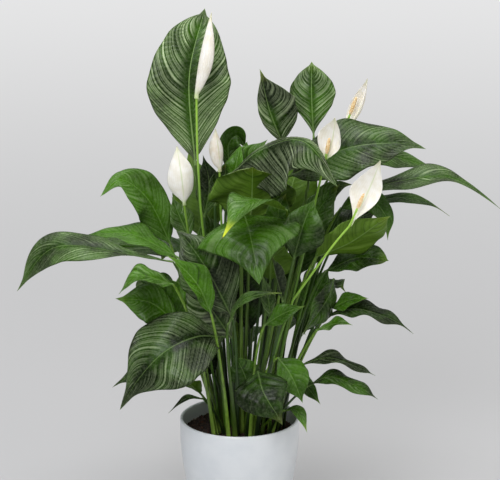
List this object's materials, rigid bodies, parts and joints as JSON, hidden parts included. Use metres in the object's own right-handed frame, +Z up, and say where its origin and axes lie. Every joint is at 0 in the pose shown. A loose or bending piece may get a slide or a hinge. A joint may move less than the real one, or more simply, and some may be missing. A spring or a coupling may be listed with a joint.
{
  "type": "potted peace lily",
  "caption": "Leafy house plant with arching glossy leaves and white hooded flowers on long stems, growing from soil in a round tapered ceramic pot that stands on its flat base.",
  "frame": {"origin": "centre of the pot's flat underside, on the surface that it stands on", "axes": "+Z up, along the pot's axis; -Y towards the plant's show side; +X to the right as seen from there"},
  "size_m": [0.934, 0.524, 1.035],
  "materials": {
    "pot_ceramic": "matte",
    "potting_soil": "matte",
    "leaf": "satin",
    "flower_stem": "satin",
    "spathe": "matte",
    "spadix": "matte"
  },
  "bodies": {
    "root": {"pot": "pot_ceramic", "soil": "potting_soil", "leaf_crown": "leaf", "leaf_high_left": "leaf", "leaf_long_left": "leaf", "leaf_upper_left": "leaf", "leaf_rear_left": "leaf", "leaf_pointed_left": "leaf", "leaf_round_left": "leaf", "leaf_broad_low_left": "leaf", "leaf_under_left": "leaf", "leaf_dark_left": "leaf", "leaf_centre_left": "leaf", "leaf_striped": "leaf", "leaf_underside": "leaf", "leaf_wave": "leaf", "leaf_behind_wave": "leaf", "leaf_upright_dark": "leaf", "leaf_upright_bright": "leaf", "leaf_broad_right": "leaf", "leaf_long_right": "leaf", "leaf_back_right": "leaf", "leaf_low_right": "leaf", "leaf_droop_right": "leaf", "leaf_pale_right": "leaf", "leaf_rounded_right": "leaf", "leaf_diagonal": "leaf", "leaf_cup": "leaf", "leaf_dark_curl": "leaf", "leaf_yellow_tip": "leaf", "leaf_front_broad": "leaf", "leaf_down_right": "leaf", "leaf_wavy_right": "leaf", "leaf_twist_upper": "leaf", "leaf_twist_lower": "leaf", "leaf_front_bright": "leaf", "leaf_front_heart": "leaf", "leaf_rear_arch_left": "leaf", "leaf_rear_arch_middle": "leaf", "leaf_rear_arch_right": "leaf", "leaf_rear_low_left": "leaf", "leaf_rear_low_right": "leaf", "tall_bud_stem": "flower_stem", "tall_bud_spathe": "spathe", "tall_bud_spadix": "spadix", "left_flower_stem": "flower_stem", "left_flower_spathe": "spathe", "left_flower_spadix": "spadix", "small_bud_stem": "flower_stem", "small_bud_spathe": "spathe", "small_bud_spadix": "spadix", "high_flower_stem": "flower_stem", "high_flower_spathe": "spathe", "high_flower_spadix": "spadix", "middle_flower_stem": "flower_stem", "middle_flower_spathe": "spathe", "middle_flower_spadix": "spadix", "right_flower_stem": "flower_stem", "right_flower_spathe": "spathe", "right_flower_spadix": "spadix"}
  },
  "joints": []
}
